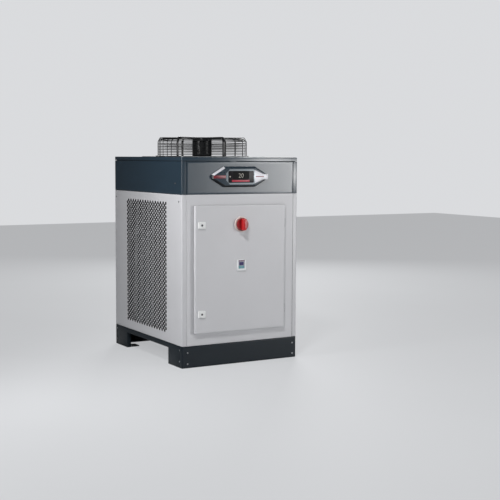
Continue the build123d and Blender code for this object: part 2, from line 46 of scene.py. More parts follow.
# Cabinet sizes, in metres
WIDTH, DEPTH = 0.765, 0.950
PLINTH, BODY, BAND = 0.126, 0.862, 0.188
BODY_LEVEL = PLINTH + BODY / 2
BAND_LEVEL = PLINTH + BODY
SEAM_LEVEL = BAND_LEVEL + BAND
ROOF_LEVEL = SEAM_LEVEL + 0.024
INNER_WIDTH = 0.711
SHEET, THIN_SHEET, BEND = 0.0025, 0.0013, 0.003
PLINTH_FOLD, PANEL_FOLD, SIDE_FOLD = 0.025, 0.020, 0.026
SIDE_TURN = {"front": 0, "rear": pi, "left": -pi / 2, "right": pi / 2}
SIDE_REACH = {"front": DEPTH / 2, "rear": DEPTH / 2, "left": WIDTH / 2, "right": WIDTH / 2}
DOOR_X, DOOR_LEVEL, DOOR_PROUD = -0.011, 0.561, 0.022
DOORWAY_WIDTH, DOORWAY_HEIGHT = 0.560, 0.694
FORK_REACH, FORK_TOP = 0.295, 0.096
FAN_Y = 0.010
PORT_X, PORT_LEVELS = -0.2105, (0.276, 0.416)
GLAND_X, GLAND_LEVEL = 0.2505, 0.246


# Finishes
def painted(red, green, blue):
    """A paint chart's colour, 0 to 255, as the shader wants it."""
    shades = [part / 255 for part in (red, green, blue)]
    return [s / 12.92 if s < 0.04 else ((s + 0.055) / 1.055) ** 2.4 for s in shades]


def finish(name, colour, roughness, metallic=0.0, tone=0.05, cloud=3.0, grain=1400.0, bump=0.05,
           stretch=(1, 1, 1), shine=0.5, glow=0.0):
    """Paint, plastic or metal: a slightly uneven colour and gloss, and a fine surface grain."""
    material = bpy.data.materials.new(name)
    material.use_nodes = True
    nodes, links = material.node_tree.nodes, material.node_tree.links
    shader = nodes["Principled BSDF"]
    shader.inputs["Metallic"].default_value = metallic
    shader.inputs["Specular IOR Level"].default_value = shine
    place = nodes.new("ShaderNodeTexCoord")
    mapping = nodes.new("ShaderNodeMapping")
    mapping.inputs["Scale"].default_value = stretch
    links.new(place.outputs["Object"], mapping.inputs["Vector"])
    patches = nodes.new("ShaderNodeTexNoise")
    patches.inputs["Scale"].default_value = cloud
    patches.inputs["Detail"].default_value = 5
    links.new(mapping.outputs["Vector"], patches.inputs["Vector"])
    shades = nodes.new("ShaderNodeValToRGB")
    shades.color_ramp.elements[0].position = 0.3
    shades.color_ramp.elements[1].position = 0.7
    shades.color_ramp.elements[0].color = [c * (1 - tone) for c in colour] + [1]
    shades.color_ramp.elements[1].color = [min(1, c * (1 + tone)) for c in colour] + [1]
    links.new(patches.outputs["Fac"], shades.inputs["Fac"])
    links.new(shades.outputs["Color"], shader.inputs["Base Color"])
    gloss = nodes.new("ShaderNodeMapRange")
    gloss.inputs["To Min"].default_value = max(0.02, roughness - 0.05)
    gloss.inputs["To Max"].default_value = min(1, roughness + 0.05)
    links.new(patches.outputs["Fac"], gloss.inputs["Value"])
    links.new(gloss.outputs["Result"], shader.inputs["Roughness"])
    peel = nodes.new("ShaderNodeTexNoise")
    peel.inputs["Scale"].default_value = grain
    peel.inputs["Detail"].default_value = 2
    links.new(mapping.outputs["Vector"], peel.inputs["Vector"])
    height = nodes.new("ShaderNodeBump")
    height.inputs["Strength"].default_value = bump
    height.inputs["Distance"].default_value = 0.0004
    links.new(peel.outputs["Fac"], height.inputs["Height"])
    links.new(height.outputs["Normal"], shader.inputs["Normal"])
    if glow:
        shader.inputs["Emission Strength"].default_value = glow
        shader.inputs["Emission Color"].default_value = [*colour, 1]
    return material


grey_coat = finish("grey_coat", painted(198, 198, 201), 0.42, tone=0.02, grain=1800, bump=0.06)
slate_coat = finish("slate_coat", painted(31, 49, 62), 0.32, grain=1800, bump=0.06, shine=1.0)
plinth_coat = finish("plinth_coat", painted(15, 26, 34), 0.45, tone=0.06, grain=1800, bump=0.08, shine=0.3)
zinc = finish("zinc", painted(172, 176, 178), 0.38, metallic=0.9, tone=0.12, cloud=30, grain=300, bump=0.04)
black_wire = finish("black_wire", painted(28, 29, 31), 0.35, tone=0.1, cloud=20, grain=2500)
fin_metal = finish("fin_metal", painted(66, 70, 73), 0.5, metallic=0.4, tone=0.15, cloud=8, grain=600,
                   bump=0.1, stretch=(1, 1, 0.2))
copper = finish("copper", painted(184, 115, 80), 0.35, metallic=1.0, tone=0.15, cloud=40, grain=500)
rubber = finish("rubber", painted(30, 31, 32), 0.75, tone=0.1, cloud=40, grain=700, bump=0.2)
hinge_metal = finish("hinge_metal", painted(150, 152, 155), 0.35, metallic=0.9, tone=0.1, cloud=60,
                     grain=900)
bezel_plastic = finish("bezel_plastic", painted(44, 56, 66), 0.28, tone=0.04, cloud=12, grain=2200,
                       bump=0.03)
# Black for the bezel's underside and left tip: painted shade
bezel_painted_shade = finish("bezel_painted_shade", painted(12, 14, 18), 0.4, tone=0.06, cloud=12, grain=2200, bump=0.03)
silver_plastic = finish("silver_plastic", painted(150, 158, 164), 0.32, metallic=0.35, tone=0.04,
                        cloud=15, grain=2600, bump=0.04)
# Pale trim of the right wing, also used as a painted highlight on the bezel's upper-left facet
pale_trim_and_highlight = finish("pale_trim_and_highlight", painted(218, 218, 224), 0.3, tone=0.02, cloud=15, grain=2200, bump=0.03)
accent_red = finish("accent_red", painted(114, 20, 34), 0.35, cloud=30, grain=2200, bump=0.03)
screen_glass = finish("screen_glass", painted(34, 32, 35), 0.3, tone=0.1, cloud=12, grain=200,
                      bump=0.005, shine=0.12)
screen_black = finish("screen_black", painted(5, 5, 6), 0.3, tone=0.1, cloud=12, grain=200, bump=0.005,
                      shine=0.08)
digit_light = finish("digit_light", painted(182, 177, 166), 0.4, tone=0.02, glow=0.15)
line_light = finish("line_light", painted(168, 32, 54), 0.4, tone=0.1, cloud=60, glow=0.05)
brass = finish("brass", painted(190, 158, 92), 0.3, metallic=1.0, tone=0.1, cloud=40, grain=900)
black_plastic = finish("black_plastic", painted(30, 31, 33), 0.5, tone=0.08, cloud=30, grain=1500, bump=0.1)
lock_plastic = finish("lock_plastic", painted(224, 225, 225), 0.4, tone=0.03, cloud=40, grain=1800,
                      bump=0.06)
lock_metal = finish("lock_metal", painted(60, 61, 64), 0.4, metallic=0.8, tone=0.1, cloud=80,
                    grain=1500, bump=0.08)
ring_plastic = finish("ring_plastic", painted(226, 208, 202), 0.3, tone=0.03, cloud=30, grain=1800)
red_plastic = finish("red_plastic", painted(182, 30, 34), 0.28, cloud=30, grain=1800)
# Darker red for the switch disc: painted shade on a knob that is one red throughout
red_painted_shade = finish("red_painted_shade", painted(138, 18, 24), 0.3, cloud=30, grain=1800)
meter_plastic = finish("meter_plastic", painted(228, 229, 231), 0.38, tone=0.02, cloud=30, grain=1800)
meter_glass = finish("meter_glass", painted(176, 178, 186), 0.2, tone=0.06, cloud=60, grain=400, bump=0.01)
meter_plum = finish("meter_plum", painted(96, 40, 84), 0.25, tone=0.08, cloud=60, grain=400, bump=0.01)
meter_dark = finish("meter_dark", painted(62, 54, 100), 0.2, tone=0.1, cloud=60, grain=400, bump=0.01)
meter_teal = finish("meter_teal", painted(104, 150, 158), 0.25, tone=0.1, cloud=60, grain=400, bump=0.01)
fan_plastic = finish("fan_plastic", painted(34, 35, 38), 0.5, tone=0.08, cloud=12, grain=1000, bump=0.1)
insulation = finish("insulation", painted(38, 39, 41), 0.85, tone=0.15, cloud=60, grain=500, bump=0.5)
# Dark coat that is painted shade: on the backs and hole walls of the side panels, the outside of the
# electrical case and the air guides
painted_shade_coat = finish("painted_shade_coat", painted(16, 17, 19), 0.8, tone=0.1, cloud=6, grain=900, bump=0.1,
                    shine=0.1)
shell_paint = finish("shell_paint", painted(24, 25, 27), 0.4, tone=0.08, cloud=10, grain=900, bump=0.08)


# Workshop moves
def choose(piece):
    """Make one object the only one selected, and active."""
    bpy.ops.object.select_all(action="DESELECT")
    piece.select_set(True)
    bpy.context.view_layer.objects.active = piece


def edit(piece):
    """Open one object in edit mode."""
    choose(piece)
    bpy.ops.object.mode_set(mode="EDIT")


def rest():
    """Leave edit mode."""
    bpy.ops.object.mode_set(mode="OBJECT")


def pick(kind, rule):
    """In edit mode, select only the verts, edges or faces that suit the rule."""
    bpy.ops.mesh.select_mode(type={"verts": "VERT", "edges": "EDGE", "faces": "FACE"}[kind])
    bpy.ops.mesh.select_all(action="DESELECT")
    data = bpy.context.object.data
    mesh = bmesh.from_edit_mesh(data)
    for part in getattr(mesh, kind):
        part.select_set(bool(rule(part)))
    bmesh.update_edit_mesh(data)


def middle(part):
    """Middle of an edge or a face."""
    return sum((v.co for v in part.verts), Vector()) / len(part.verts)


def blank(width, height):
    """A flat rectangle facing +Z, left open in edit mode."""
    bpy.ops.mesh.primitive_plane_add(size=1)
    piece = bpy.context.object
    edit(piece)
    bpy.ops.transform.resize(value=(width, height, 1))
    return piece


def point_at(place):
    """A single point, left selected in edit mode."""
    bpy.ops.mesh.primitive_plane_add(size=0.001, location=place)
    piece = settle(bpy.context.object)
    edit(piece)
    bpy.ops.mesh.select_mode(type="VERT")
    bpy.ops.mesh.select_all(action="SELECT")
    bpy.ops.mesh.merge(type="CENTER")
    return piece


def block(size, place):
    """A rectangular block, left open in edit mode."""
    bpy.ops.mesh.primitive_cube_add(size=1, location=place)
    piece = settle(bpy.context.object)
    edit(piece)
    bpy.ops.transform.resize(value=size, center_override=place)
    return piece


def applied(piece, kind, **settings):
    """Add a modifier with these settings and apply it."""
    choose(piece)
    modifier = piece.modifiers.new(kind.title(), kind)
    for key, value in settings.items():
        setattr(modifier, key, value)
    bpy.ops.object.modifier_apply(modifier=modifier.name)
    return piece


def outward(piece):
    """Merge doubles and turn every face outwards."""
    edit(piece)
    bpy.ops.mesh.select_all(action="SELECT")
    bpy.ops.mesh.remove_doubles(threshold=0.00001)
    bpy.ops.mesh.normals_make_consistent(inside=False)
    rest()
    return piece


def face_up(piece):
    """In edit mode, turn every face of a flat piece to +Z."""
    bpy.ops.mesh.select_all(action="SELECT")
    bpy.ops.mesh.normals_make_consistent(inside=False)
    if bmesh.from_edit_mesh(piece.data).faces[:][0].normal.z < 0:
        bpy.ops.mesh.flip_normals()


def punch(x, y, across, high, sides=48):
    """In edit mode, the outline of an opening: a rectangle, or a circle where high is 0."""
    if high:
        bpy.ops.mesh.primitive_plane_add(size=1, location=(x, y, 0))
        bpy.ops.transform.resize(value=(across, high, 1))
        bpy.ops.mesh.delete(type="ONLY_FACE")
    else:
        bpy.ops.mesh.primitive_circle_add(vertices=sides, radius=across / 2, location=(x, y, 0))


def coat(piece, material):
    """Give a piece one material."""
    piece.data.materials.clear()
    piece.data.materials.append(material)
    return piece


def recoat(piece, materials, choice):
    """Give a piece several materials, each face the one that choice names."""
    piece.data.materials.clear()
    for material in materials:
        piece.data.materials.append(material)
    for face in piece.data.polygons:
        face.material_index = choice(face)


def settle(piece):
    """Bring a piece's place into its mesh."""
    choose(piece)
    bpy.ops.object.transform_apply(location=True, rotation=True, scale=True)
    return piece


def moved(piece, shift):
    """Move a piece, within its mesh."""
    piece.location = shift
    return settle(piece)


def around(piece, copies):
    """Repeat a piece round the Z axis."""
    edit(piece)
    bpy.ops.mesh.select_all(action="SELECT")
    bpy.ops.mesh.spin(steps=copies, dupli=True, angle=2 * pi, center=(0, 0, 0), axis=(0, 0, 1))
    rest()
    return outward(piece)


def row(piece, count, step):
    """Repeat a piece in a straight row."""
    return applied(piece, "ARRAY", count=count, use_relative_offset=False, use_constant_offset=True,
                   constant_offset_displace=step)


def stand(piece, side, x, level, proud=0.0):
    """Turn a piece that was made flat, facing +Z, onto one outer face of the cabinet."""
    turn = SIDE_TURN[side]
    reach = SIDE_REACH[side] + proud
    across = Matrix.Rotation(turn, 3, "Z")
    piece.rotation_euler = (pi / 2, 0, turn)
    piece.location = across @ Vector((x, -reach, 0)) + Vector((0, 0, level))
    return settle(piece)


def twin(piece):
    """A copy with its own mesh."""
    choose(piece)
    bpy.ops.object.duplicate(linked=False)
    return bpy.context.object


def joined(pieces):
    """Several objects made one."""
    choose(pieces[0])
    for piece in pieces:
        piece.select_set(True)
    bpy.ops.object.join()
    return bpy.context.object


def hand_over(piece, name, body, material=None, nodes=()):
    """Name, finish and mount a piece on its CAD body."""
    settle(piece)
    bpy.ops.object.shade_smooth_by_angle(angle=radians(35))
    piece.name = piece.data.name = name
    if material:
        coat(piece, material)
    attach(piece, body)
    if nodes:
        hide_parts(*nodes)


def bent_sheet(width, height, fold, openings=(), rim=0.0, field=None, bend=BEND, gauge=SHEET):
    """A sheet facing +Z with its outer rim folded back, cut by openings or by a perforated field."""
    def inside(edge):
        return all(abs(v.co.x) < width / 2 - 0.001 and abs(v.co.y) < height / 2 - 0.001
                   for v in edge.verts)

    def outer(edge):
        return len(edge.link_faces) == 1 and any(
            all(abs(abs(v.co[axis]) - reach / 2) < 1e-5 for v in edge.verts)
            for axis, reach in ((0, width), (1, height)))

    def bent(edge):
        spot = middle(edge)
        on_side = abs(abs(spot.x) - width / 2) < 1e-5
        on_end = abs(abs(spot.y) - height / 2) < 1e-5
        upright = abs(edge.verts[0].co.z - edge.verts[1].co.z) > 1e-5
        front = all(abs(v.co.z) < 1e-6 for v in edge.verts)
        return ((on_side or on_end) and front) or (on_side and on_end and upright)

    piece = blank(width, height)
    bpy.ops.mesh.inset(thickness=0.012, depth=0)
    if openings or field:
        bpy.ops.mesh.delete(type="ONLY_FACE")
        for opening in openings:
            punch(*opening)
        rest()
        if field:
            piece = joined([piece, field])
        edit(piece)
        pick("edges", lambda e: inside(e) and len(e.link_faces) < 2 and not e.seam)
        bpy.ops.mesh.fill(use_beauty=True)
    face_up(piece)
    if rim:
        pick("edges", lambda e: inside(e) and len(e.link_faces) == 1)
        bpy.ops.mesh.extrude_edges_move(TRANSFORM_OT_translate={"value": (0, 0, -rim)})
    pick("edges", outer)
    bpy.ops.mesh.extrude_edges_move(TRANSFORM_OT_translate={"value": (0, 0, -fold)})
    pick("edges", bent)
    bpy.ops.mesh.bevel(offset=bend, segments=3, affect="EDGES")
    bpy.ops.mesh.select_all(action="SELECT")
    bpy.ops.mesh.mark_seam(clear=True)
    rest()
    return applied(piece, "SOLIDIFY", thickness=gauge, offset=-1)


def perforation(columns, rows, pitch, rise, radius):
    """Staggered round holes, each in its six-sided cell; hole edges are marked as seams."""
    tip = (pitch * pitch + rise * rise) / (4 * pitch)
    shoulder = (pitch * pitch - rise * rise) / (4 * pitch)
    bpy.ops.mesh.primitive_circle_add(vertices=6, radius=1)
    cell = bpy.context.object
    edit(cell)
    bpy.ops.transform.rotate(value=pi / 2, orient_axis="Z", center_override=(0, 0, 0))
    bpy.ops.transform.resize(value=(tip, rise / 2 / sin(pi / 3), 1))
    pick("verts", lambda v: abs(v.co.y) > rise / 4)
    bpy.ops.transform.resize(value=(shoulder / (tip / 2), 1, 1))
    bpy.ops.mesh.select_all(action="SELECT")
    bpy.ops.mesh.subdivide(number_cuts=1)
    bpy.ops.mesh.extrude_edges_move(TRANSFORM_OT_translate={"value": (0, 0, 0)})
    bpy.ops.transform.tosphere(value=1)
    bpy.ops.mesh.mark_seam()
    ring = [v for v in bmesh.from_edit_mesh(cell.data).verts if v.select]
    size = radius / ring[0].co.length
    bpy.ops.transform.resize(value=(size, size, 1))
    bpy.ops.mesh.select_all(action="SELECT")
    bpy.ops.mesh.duplicate_move(TRANSFORM_OT_translate={"value": (pitch / 2, rise / 2, 0)})
    rest()
    row(row(cell, columns, (pitch, 0, 0)), rows, (0, rise, 0))
    edit(cell)
    bpy.ops.mesh.select_all(action="SELECT")
    bpy.ops.mesh.remove_doubles(threshold=0.0001)
    bpy.ops.transform.translate(value=(-(columns - 0.5) * pitch / 2, -(rows - 0.5) * rise / 2, 0))
    rest()
    return cell


def turned(profile, steps=48):
    """A profile of (radius, height) points spun about the Z axis."""
    piece = point_at((profile[0][0], 0, profile[0][1]))
    for here, there in zip(profile, profile[1:]):
        step = (there[0] - here[0], 0, there[1] - here[1])
        bpy.ops.mesh.extrude_vertices_move(TRANSFORM_OT_translate={"value": step})
    bpy.ops.mesh.select_all(action="SELECT")
    bpy.ops.mesh.spin(steps=steps, angle=2 * pi, center=(0, 0, 0), axis=(0, 0, 1))
    rest()
    return outward(piece)


def slab(width, height, thickness, corner, edge=0.0, openings=()):
    """A flat plate facing +Z, its back at z = 0, with rounded corners, softened front edges and openings."""
    piece = blank(width, height)
    if corner:
        bpy.ops.mesh.bevel(offset=corner, segments=4, affect="VERTICES")
    if openings:
        bpy.ops.mesh.delete(type="ONLY_FACE")
        for opening in openings:
            punch(*opening)
        bpy.ops.mesh.select_all(action="SELECT")
        bpy.ops.mesh.fill(use_beauty=True)
        bpy.ops.mesh.select_all(action="SELECT")
        bpy.ops.mesh.tris_convert_to_quads()
    face_up(piece)
    rest()
    applied(piece, "SOLIDIFY", thickness=thickness, offset=1)
    if edge:
        edit(piece)
        pick("edges", lambda e: all(abs(v.co.z - thickness) < 1e-6 for v in e.verts)
             and abs(e.calc_face_angle(0) - pi / 2) < 0.2)
        bpy.ops.mesh.bevel(offset=edge, segments=3, affect="EDGES")
        rest()
    return piece


def rod(points, radius, sides=6):
    """A round wire through the points, its section extruded from end to end and mitred at the bends."""
    start, onward = Vector(points[0]), Vector(points[1]) - Vector(points[0])
    bpy.ops.mesh.primitive_circle_add(vertices=sides, radius=radius, fill_type="NGON")
    piece = bpy.context.object
    piece.rotation_euler = onward.to_track_quat("Z", "Y").to_euler()
    piece.location = start
    settle(piece)
    edit(piece)
    last = onward.normalized()
    for index, point in enumerate(points[1:], 1):
        leg = Vector(point) - Vector(points[index - 1])
        bpy.ops.mesh.extrude_region_move(TRANSFORM_OT_translate={"value": leg})
        if index < len(points) - 1:
            ahead = (Vector(points[index + 1]) - Vector(point)).normalized()
            mesh = bmesh.from_edit_mesh(piece.data)
            moving = [v for v in mesh.verts if v.select]
            plane = (last + ahead).normalized()
            for v in moving:
                gap = (Vector(point) - v.co).dot(plane) / last.dot(plane)
                v.co += last * gap
            bmesh.update_edit_mesh(piece.data)
            last = ahead
    rest()
    return outward(piece)


# Camera, as the photograph was taken
view = Matrix.Rotation(radians(-30.258), 4, "Z") @ Matrix.Rotation(radians(90 - 5.093), 4, "X")
view = view @ Matrix.Rotation(radians(0.285), 4, "Z")
bpy.ops.object.camera_add()
camera = bpy.context.object
camera.matrix_world = Matrix.Translation((-3.0118, -5.7425, 1.2044)) @ view
FILM_WIDTH, PHOTO_PIXELS, FOCAL_PIXELS = 36, 500, 1048.56
camera.data.sensor_width = FILM_WIDTH
camera.data.lens = FILM_WIDTH * FOCAL_PIXELS / PHOTO_PIXELS
camera.data.clip_end = 60
bpy.context.scene.camera = camera

# Floor, backdrop and lamps
bpy.ops.mesh.primitive_plane_add(size=1)
floor = bpy.context.object
edit(floor)
bpy.ops.transform.resize(value=(24, 24, 1))
bpy.ops.mesh.subdivide(number_cuts=3)
rest()
floor.name = "floor"
floor_paint = finish("floor_paint", painted(206, 208, 210), 0.6, tone=0.02, cloud=0.8, grain=200, bump=0.02)
nodes, links = floor_paint.node_tree.nodes, floor_paint.node_tree.links
seen = nodes.new("ShaderNodeEmission")
seen.inputs["Color"].default_value = (0.72, 0.73, 0.75, 1)
ray = nodes.new("ShaderNodeLightPath")
share = nodes.new("ShaderNodeMath")
share.operation = "MULTIPLY"
share.inputs[1].default_value = 0.6
links.new(ray.outputs["Is Camera Ray"], share.inputs[0])
blend = nodes.new("ShaderNodeMixShader")
links.new(share.outputs["Value"], blend.inputs["Fac"])
links.new(nodes["Principled BSDF"].outputs["BSDF"], blend.inputs[1])
links.new(seen.outputs["Emission"], blend.inputs[2])
links.new(blend.outputs["Shader"], nodes["Material Output"].inputs["Surface"])
coat(floor, floor_paint)

world = bpy.data.worlds.new("studio")
bpy.context.scene.world = world
world.use_nodes = True
sky, sky_links = world.node_tree.nodes, world.node_tree.links
plain = sky["Background"]
plain.inputs["Color"].default_value = (0.80, 0.82, 0.85, 1)
plain.inputs["Strength"].default_value = 0.08
shown = sky.new("ShaderNodeBackground")
shown.inputs["Color"].default_value = (0.78, 0.79, 0.81, 1)
shown.inputs["Strength"].default_value = 0.9
ray = sky.new("ShaderNodeLightPath")
blend = sky.new("ShaderNodeMixShader")
sky_links.new(ray.outputs["Is Camera Ray"], blend.inputs["Fac"])
sky_links.new(plain.outputs["Background"], blend.inputs[1])
sky_links.new(shown.outputs["Background"], blend.inputs[2])
sky_links.new(blend.outputs["Shader"], sky["World Output"].inputs["Surface"])


def lamp(name, place, aim, size, power):
    """A rectangular studio lamp that points at aim."""
    bpy.ops.object.light_add(type="AREA", location=place)
    light = bpy.context.object
    light.name = name
    light.data.shape = "RECTANGLE"
    light.data.size, light.data.size_y = size
    light.data.energy = power
    light.rotation_euler = (Vector(aim) - Vector(place)).to_track_quat("-Z", "Y").to_euler()


lamp("key_lamp", (-2.2, -3.0, 4.3), (0, -0.45, 0.7), (0.7, 0.7), 118)
lamp("side_lamp", (-1.8, -0.55, 1.25), (-0.8, -1.3, 1.1), (0.4, 0.8), 23)
lamp("front_lamp", (3.6, -4.6, 1.2), (0, -0.4, 0.8), (1.2, 1.6), 105)
lamp("rear_lamp", (2.8, 4.2, 2.6), (0, 0, 0.7), (2.0, 2.0), 110)
bpy.context.scene.view_settings.view_transform = "Standard"

# Pieces whose CAD shape is already right
for material, names in (
    (zinc, ("foot_plates", "base_pan", "mounting_plate")),
    (lock_metal, ("lock_insert_upper", "lock_insert_lower")),
):
    for node in names:
        coat(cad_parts[node], material)

# Plinth
for side in ("front", "rear"):
    piece = bent_sheet(WIDTH, PLINTH, PLINTH_FOLD)
    stand(piece, side, 0, PLINTH / 2)
    hand_over(piece, f"plinth_end_{side}", "cabinet", plinth_coat, [f"plinth_{side}"])

for side in ("left", "right"):
    piece = blank(DEPTH - 2 * PLINTH_FOLD, PLINTH)
    for spot, normal in (
        ((-FORK_REACH, 0, 0), (1, 0, 0)),
        ((FORK_REACH, 0, 0), (1, 0, 0)),
        ((0, FORK_TOP - PLINTH / 2, 0), (0, 1, 0)),
    ):
        bpy.ops.mesh.select_all(action="SELECT")
        bpy.ops.mesh.bisect(plane_co=spot, plane_no=normal)
    pick("faces", lambda f: abs(middle(f).x) < FORK_REACH and middle(f).y < FORK_TOP - PLINTH / 2)
    bpy.ops.mesh.delete(type="FACE")
    face_up(piece)
    pick("edges", lambda e: len(e.link_faces) == 1)
    bpy.ops.mesh.extrude_edges_move(TRANSFORM_OT_translate={"value": (0, 0, -PLINTH_FOLD)})
    pick("edges", lambda e: abs(e.calc_face_angle(0) - pi / 2) < 0.1)
    bpy.ops.mesh.bevel(offset=0.002, segments=3, affect="EDGES")
    rest()
    applied(piece, "SOLIDIFY", thickness=SHEET, offset=-1)
    stand(piece, side, 0, PLINTH / 2)
    hand_over(piece, f"plinth_arch_{side}", "cabinet", plinth_coat, [f"plinth_side_{side}"])

# Body panels
doorway = [(DOOR_X, DOOR_LEVEL - BODY_LEVEL, DOORWAY_WIDTH, DOORWAY_HEIGHT)]
piece = bent_sheet(INNER_WIDTH, BODY, PANEL_FOLD, doorway, rim=0.020, bend=0.0015)
stand(piece, "front", 0, BODY_LEVEL)
hand_over(piece, "front_sheet", "cabinet", grey_coat, ["front_panel"])

rear_holes = [(PORT_X, level - BODY_LEVEL, 0.0352, 0) for level in PORT_LEVELS]
rear_holes.append((GLAND_X, GLAND_LEVEL - BODY_LEVEL, 0.022, 0))
piece = bent_sheet(INNER_WIDTH, BODY, PANEL_FOLD, rear_holes)
stand(piece, "rear", 0, BODY_LEVEL)
hand_over(piece, "rear_sheet", "cabinet", grey_coat, ["rear_panel"])
# Perforated sides: thinner than the other sheets, so that the holes stay open when seen at a slant
HOLE_COLUMNS, HOLE_ROWS = 16, 30
HOLE_PITCH, HOLE_RISE, HOLE_RADIUS = 0.0353, 0.0252, 0.0100
FIELD_LEVEL = 0.561


def behind_the_holes(face):
    """The back of a side panel and the walls of its holes, which are in shade and get the painted shade
    coat.
    """
    return int(face.normal.z < -0.9 or (face.normal.z < 0.5 and abs(face.center.x) < 0.30))


for side, shift in (("left", -0.006), ("right", 0.006)):
    field = perforation(HOLE_COLUMNS, HOLE_ROWS, HOLE_PITCH, HOLE_RISE, HOLE_RADIUS)
    moved(field, (shift, FIELD_LEVEL - BODY_LEVEL, 0))
    piece = bent_sheet(DEPTH, BODY, SIDE_FOLD, field=field, gauge=THIN_SHEET)
    recoat(piece, [grey_coat, painted_shade_coat], behind_the_holes)
    stand(piece, side, 0, BODY_LEVEL)
    hand_over(piece, f"side_sheet_{side}", "cabinet", nodes=[f"side_panel_{side}"])

# Band and roof
for side, width, fold in (
    ("front", INNER_WIDTH - 0.002, PANEL_FOLD),
    ("rear", INNER_WIDTH - 0.002, PANEL_FOLD),
    ("left", DEPTH, SIDE_FOLD),
    ("right", DEPTH, SIDE_FOLD),
):
    piece = bent_sheet(width, BAND, fold)
    stand(piece, side, 0, BAND_LEVEL + BAND / 2)
    hand_over(piece, f"band_sheet_{side}", "cabinet", slate_coat, [f"band_{side}"])

lid = moved(bent_sheet(WIDTH, DEPTH, 0.021, [(0, FAN_Y, 0.495, 0)]), (0, 0, ROOF_LEVEL))
spacer = blank(WIDTH - 0.016, DEPTH - 0.016)
bpy.ops.mesh.inset(thickness=0.020, depth=0)
bpy.ops.mesh.delete(type="FACE")
rest()
applied(spacer, "SOLIDIFY", thickness=0.0045, offset=1)
moved(outward(spacer), (0, 0, SEAM_LEVEL + 0.0001))
tab = moved(slab(0.040, 0.0034, 0.0105, 0.0008), (0, 0, -0.0100))
stand(tab, "front", -0.053, SEAM_LEVEL + 0.0016)
coat(lid, slate_coat)
coat(spacer, black_plastic)
coat(tab, slate_coat)
hand_over(joined([lid, spacer, tab]), "roof_lid", "cabinet", nodes=["roof"])

# Electrical case behind the doorway: light grey inside, and painted shade on its outer faces
CASE_SHEET = 0.004
low, high = (Vector(corner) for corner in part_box("enclosure_top_floor"))
case_middle = (low + high) / 2
case = block(high - low - Vector((2 * CASE_SHEET, 0, 2 * CASE_SHEET)), case_middle)
pick("faces", lambda f: f.normal.y < -0.9)
bpy.ops.mesh.delete(type="FACE")
pick("edges", lambda e: len(e.link_faces) == 2)
bpy.ops.mesh.bevel(offset=0.004, segments=3, affect="EDGES")
rest()
applied(case, "SOLIDIFY", thickness=CASE_SHEET, offset=1)
recoat(case, [grey_coat, painted_shade_coat], lambda f: int((f.center - case_middle).dot(f.normal) > 0))
hand_over(case, "electrical_case", "cabinet",
          nodes=["enclosure_sides", "enclosure_top_floor", "enclosure_back"])

low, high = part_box("mounting_plate")
nut = turned([(0, 0), (0.007, 0), (0.007, 0.0045), (0.006, 0.0055), (0.003, 0.0055), (0.003, 0.009),
              (0, 0.009)], 6)
nuts = []
for x in (low[0] + 0.015, high[0] - 0.015):
    for level in (low[2] + 0.015, high[2] - 0.015):
        nuts.append(stand(twin(nut), "front", x, level, -0.199))
bpy.data.objects.remove(nut)
hand_over(joined(nuts), "plate_nuts", "cabinet", zinc)

seal = slab(0.580, 0.714, 0.0015, 0.010, 0.0006, [(0, 0, DOORWAY_WIDTH, DOORWAY_HEIGHT)])
stand(seal, "front", DOOR_X, DOOR_LEVEL)
hand_over(seal, "doorway_seal", "cabinet", rubber, ["door_seal"])

# Door
piece = bent_sheet(0.596, 0.730, 0.0175)
stand(piece, "front", DOOR_X, DOOR_LEVEL, DOOR_PROUD)
hand_over(piece, "door_leaf", "door", grey_coat, ["door"])

# Hinges: the lower barrel and pin on the frame, the upper barrel on the door
HINGE_X, HINGE_Y, BARREL_HEIGHT = 0.292, -0.481, 0.026
BARREL = [(0.0026, 0), (0.0044, 0), (0.005, 0.0006), (0.005, 0.0254), (0.0044, BARREL_HEIGHT),
          (0.0026, BARREL_HEIGHT), (0.0026, 0)]
fixed, swinging = [], []
for level in (0.306, 0.816):
    lower = moved(turned(BARREL, 24), (HINGE_X, HINGE_Y, level - BARREL_HEIGHT))
    pin = turned([(0, -0.0272), (0.0018, -0.0272), (0.0025, -0.0265), (0.0025, 0.0255),
                  (0.0018, 0.0265), (0, 0.0265)], 24)
    base = block((0.0092, 0.0062, 0.0250), (HINGE_X, HINGE_Y + 0.0030, level - 0.013))
    bpy.ops.mesh.bevel(offset=0.0008, segments=2, affect="EDGES")
    rest()
    fixed += [lower, moved(pin, (HINGE_X, HINGE_Y, level)), base]
    upper = moved(turned(BARREL, 24), (HINGE_X, HINGE_Y, level + 0.0005))
    leaf = block((0.0050, 0.0048, 0.0250), (HINGE_X - 0.0030, HINGE_Y - 0.0024, level + 0.0135))
    bpy.ops.mesh.bevel(offset=0.0006, segments=2, affect="EDGES")
    rest()
    swinging += [upper, leaf]
hand_over(joined(fixed), "hinge_lower_barrels", "cabinet", hinge_metal, ["hinge_pins"])
hand_over(joined(swinging), "hinge_upper_barrels", "door", hinge_metal, ["hinge_knuckles"])

# Main switch
SWITCH_LEVEL = 0.815
ring = turned([(0, 0), (0.0445, 0), (0.0445, 0.005), (0.0425, 0.0075), (0.0395, 0.008), (0.038, 0.0065),
               (0.006, 0.0065), (0.006, 0.022), (0, 0.022)], 64)
stand(ring, "front", DOOR_X, SWITCH_LEVEL, DOOR_PROUD)
hand_over(ring, "switch_collar", "door", ring_plastic, ["switch_ring"])

